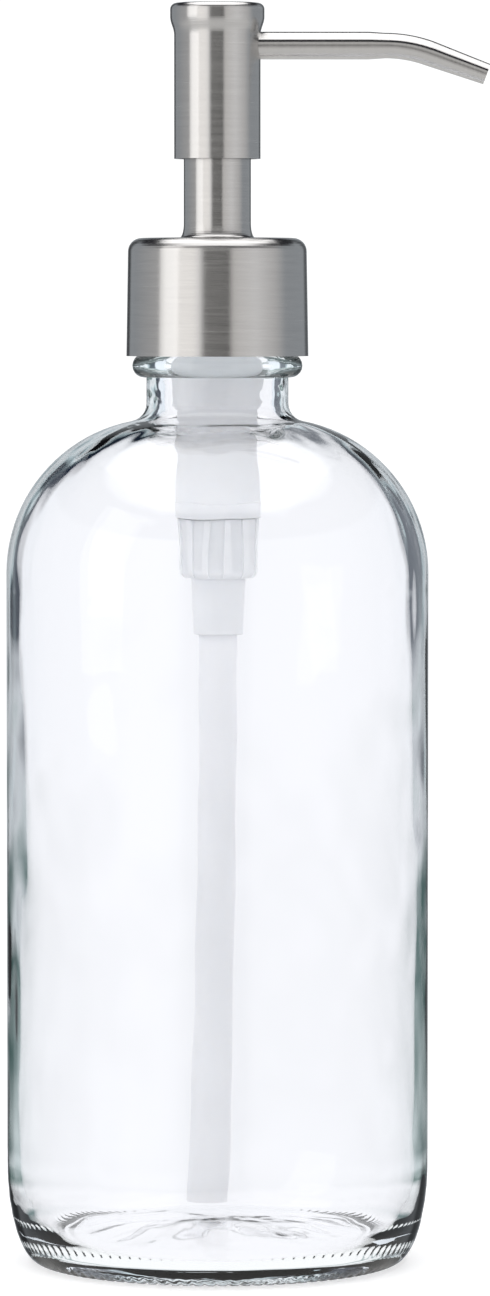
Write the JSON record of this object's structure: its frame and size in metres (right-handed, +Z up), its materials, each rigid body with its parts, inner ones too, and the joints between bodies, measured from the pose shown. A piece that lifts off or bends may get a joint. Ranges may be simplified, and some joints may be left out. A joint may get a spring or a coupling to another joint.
{
  "type": "soap pump dispenser",
  "caption": "Clear round-shouldered glass bottle with a screw-on brushed steel pump: pressing head, swivelling bent spout, sprung stem, piston, ball valve and dip tube.",
  "frame": {"origin": "centre of the bottle's foot, in the plane that it stands on, on the axis of the bottle and the pump", "axes": "+Z up along the axis, +X towards the spout's tip in the rest pose"},
  "size_m": [0.0858, 0.075, 0.2238],
  "materials": {
    "clear_glass": "clear, faintly blue-green, slightly wavy blown wall",
    "brushed_steel": "fine brushing round the axis, along the spout on the spout",
    "polished_steel": "bright stainless",
    "white_plastic": "moulded white polypropylene",
    "milky_plastic": "milky, translucent natural polypropylene",
    "tube_plastic": "translucent natural polyethylene",
    "piston_plastic": "soft ivory polyethylene",
    "seal_foam": "closed-cell foam",
    "seal_rubber": "soft pale elastomer"
  },
  "bodies": {
    "bottle": {"bottle": "clear_glass"},
    "pump": {"pump_barrel": "milky_plastic", "guide_bush": "white_plastic", "stem_seal": "seal_rubber", "lower_sleeve": "brushed_steel", "neck_gasket": "seal_foam", "valve_cup": "milky_plastic", "valve_cage": "white_plastic", "dip_tube": "tube_plastic", "return_spring": "polished_steel"},
    "collar": {"collar_shell": "brushed_steel", "collar_insert": "white_plastic"},
    "stem": {"stem": "white_plastic", "piston_rod": "white_plastic"},
    "head": {"head_core": "white_plastic", "head_shell": "brushed_steel", "spout_tube": "brushed_steel", "spout_liner": "tube_plastic"},
    "piston": {"piston": "piston_plastic"},
    "inlet_ball": {"inlet_ball": "polished_steel"}
  },
  "joints": [
    {"name": "pump_lift", "type": "slide", "parent": "bottle", "child": "pump", "axis": [0, 0, 1], "range_m": [0, 0.00635]},
    {"name": "collar_turn", "type": "hinge", "parent": "pump", "child": "collar", "pos_m": [0, 0, 0.17], "axis": [0, 0, 1], "range_deg": [0, 540]},
    {"name": "head_press", "type": "slide", "parent": "pump", "child": "stem", "axis": [0, 0, -1], "range_m": [0, 0.011], "stiffness_N_per_m": 400, "springref_m": -0.01, "deforming": ["return_spring"]},
    {"name": "head_turn", "type": "hinge", "parent": "stem", "child": "head", "pos_m": [0, 0, 0.21], "axis": [0, 0, 1], "continuous": true},
    {"name": "piston_slip", "type": "slide", "parent": "stem", "child": "piston", "axis": [0, 0, 1], "range_m": [0, 0.001]},
    {"name": "ball_lift", "type": "slide", "parent": "pump", "child": "inlet_ball", "axis": [0, 0, 1], "range_m": [0, 0.002]}
  ],
  "couplings": [
    {"joint": "collar_turn", "follows": "pump_lift", "rad_per_m": 1484.3}
  ]
}
